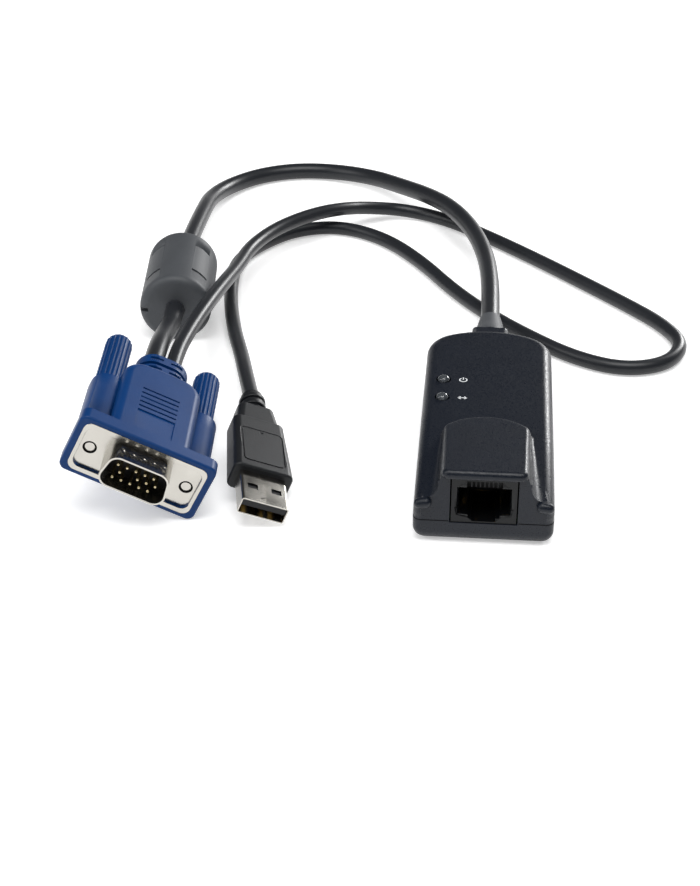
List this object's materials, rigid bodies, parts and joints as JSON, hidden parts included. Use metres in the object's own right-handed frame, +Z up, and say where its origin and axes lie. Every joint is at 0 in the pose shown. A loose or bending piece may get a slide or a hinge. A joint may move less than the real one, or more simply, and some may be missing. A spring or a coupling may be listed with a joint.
{
  "type": "kvm dongle",
  "caption": "Server interface module: a dark wedge-nosed box with a network jack and two lamps, and a cable that splits to a blue video plug and a USB plug.",
  "frame": {"origin": "on the surface the module lies on, on the centre line of its housing, 38.5 mm behind the tip of the visor", "axes": "+Z up; +Y along the housing from the network jack to the cable exit; +X to the right seen from the jack end"},
  "size_m": [0.1587, 0.2257, 0.0296],
  "materials": {
    "housing_plastic": "fine spark-eroded texture, near-black blue-grey ABS",
    "screw_steel": "zinc-plated steel",
    "board_laminate": "green solder mask",
    "chip_epoxy": "black moulded epoxy",
    "crystal_can": "nickel-plated can",
    "capacitor_ceramic": "fired ceramic",
    "jack_plastic": "black glass-filled polyester, moulded",
    "contact_gold": "gold plate over phosphor bronze",
    "lamp_lens": "water-clear epoxy",
    "connector_nylon": "natural nylon",
    "wire_insulation": "thin PVC insulation",
    "boot_rubber": "mid-grey thermoplastic rubber",
    "cable_jacket": "satin PVC jacket",
    "ferrite_ceramic": "sintered ferrite",
    "video_plug_plastic": "royal-blue PVC overmould",
    "nickel_plate": "nickel-plated steel",
    "insulator_black": "black glass-filled polyester",
    "pin_plate": "gold-flashed copper alloy",
    "usb_tongue_white": "white glass-filled polyester"
  },
  "bodies": {
    "module": {"top_shell": "housing_plastic", "bottom_shell": "housing_plastic", "housing_screws": "screw_steel", "circuit_board": "board_laminate", "controller_chip": "chip_epoxy", "video_converter_chip": "chip_epoxy", "memory_chip": "chip_epoxy", "line_transformer": "chip_epoxy", "clock_crystal": "crystal_can", "board_capacitors": "capacitor_ceramic", "jack_body": "jack_plastic", "jack_contacts": "contact_gold", "power_led": "lamp_lens", "active_led": "lamp_lens", "board_header": "connector_nylon", "header_plug": "connector_nylon", "inner_wires": "wire_insulation", "strain_relief": "boot_rubber", "main_cable": "cable_jacket", "usb_cable": "cable_jacket", "ferrite_overmould": "boot_rubber", "ferrite_core": "ferrite_ceramic", "video_hood": "video_plug_plastic", "video_front_shell": "nickel_plate", "video_rear_shell": "nickel_plate", "video_insulator": "insulator_black", "video_pins": "pin_plate", "usb_shell": "nickel_plate", "usb_tongue": "usb_tongue_white", "usb_contacts": "contact_gold", "usb_overmould": "cable_jacket"},
    "left_thumbscrew": {"left_thumbscrew_knob": "video_plug_plastic", "left_thumbscrew_shank": "nickel_plate"},
    "right_thumbscrew": {"right_thumbscrew_knob": "video_plug_plastic", "right_thumbscrew_shank": "nickel_plate"}
  },
  "joints": [
    {"name": "left_thumbscrew_turn", "type": "hinge", "parent": "module", "child": "left_thumbscrew", "pos_m": [-0.09429, -0.03353, 0.02031], "axis": [-0.0436, 0.9981, 0.0436], "continuous": true},
    {"name": "right_thumbscrew_turn", "type": "hinge", "parent": "module", "child": "right_thumbscrew", "pos_m": [-0.07191, -0.03207, 0.00929], "axis": [-0.0436, 0.9981, 0.0436], "continuous": true}
  ]
}
